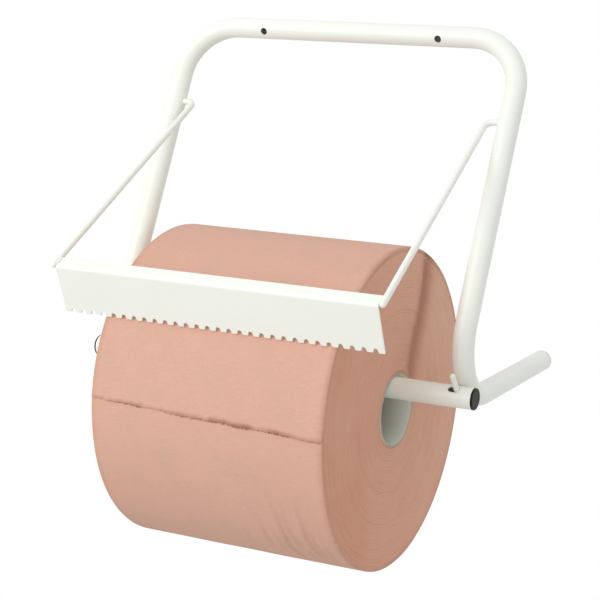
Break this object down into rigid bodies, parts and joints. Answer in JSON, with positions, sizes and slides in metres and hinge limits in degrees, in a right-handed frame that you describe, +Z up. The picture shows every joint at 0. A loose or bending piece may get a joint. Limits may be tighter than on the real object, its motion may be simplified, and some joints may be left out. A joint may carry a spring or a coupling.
{
  "type": "wall-mounted roll dispenser",
  "caption": "Wall-mounted dispenser for a wide paper roll: bent tube frame, lift-off axle on hooks, swinging toothed tear-off blade and the roll itself",
  "frame": {"origin": "On the wall's plane, midway between the two screw holes of the top bar", "axes": "+X along the roll to the right, +Y into the wall, +Z up"},
  "size_m": [0.4, 0.361, 0.4506],
  "materials": {
    "white_coated_steel": "satin",
    "light_plug": "satin",
    "black_plug": "satin",
    "core_card": "matte",
    "wiping_paper": "matte"
  },
  "bodies": {
    "base": {"frame_tube": "white_coated_steel", "foot_plug_left": "light_plug", "foot_plug_right": "light_plug", "hook_left": "white_coated_steel", "hook_right": "white_coated_steel", "axle_tube": "white_coated_steel", "axle_plug_left": "black_plug", "axle_plug_right": "black_plug"},
    "bail": {"arm_left": "white_coated_steel", "arm_right": "white_coated_steel", "blade": "white_coated_steel"},
    "roll": {"core_tube": "core_card", "paper_roll": "wiping_paper", "outer_sheet": "wiping_paper"}
  },
  "joints": [
    {"name": "bail_swing", "type": "hinge", "parent": "base", "child": "bail", "pos_m": [0, -0.06271, -0.06282], "axis": [-1, 0, 0], "range_deg": [0, 118]},
    {"name": "roll_spin", "type": "hinge", "parent": "base", "child": "roll", "pos_m": [0, -0.21204, -0.29157], "axis": [1, 0, 0], "continuous": true}
  ]
}
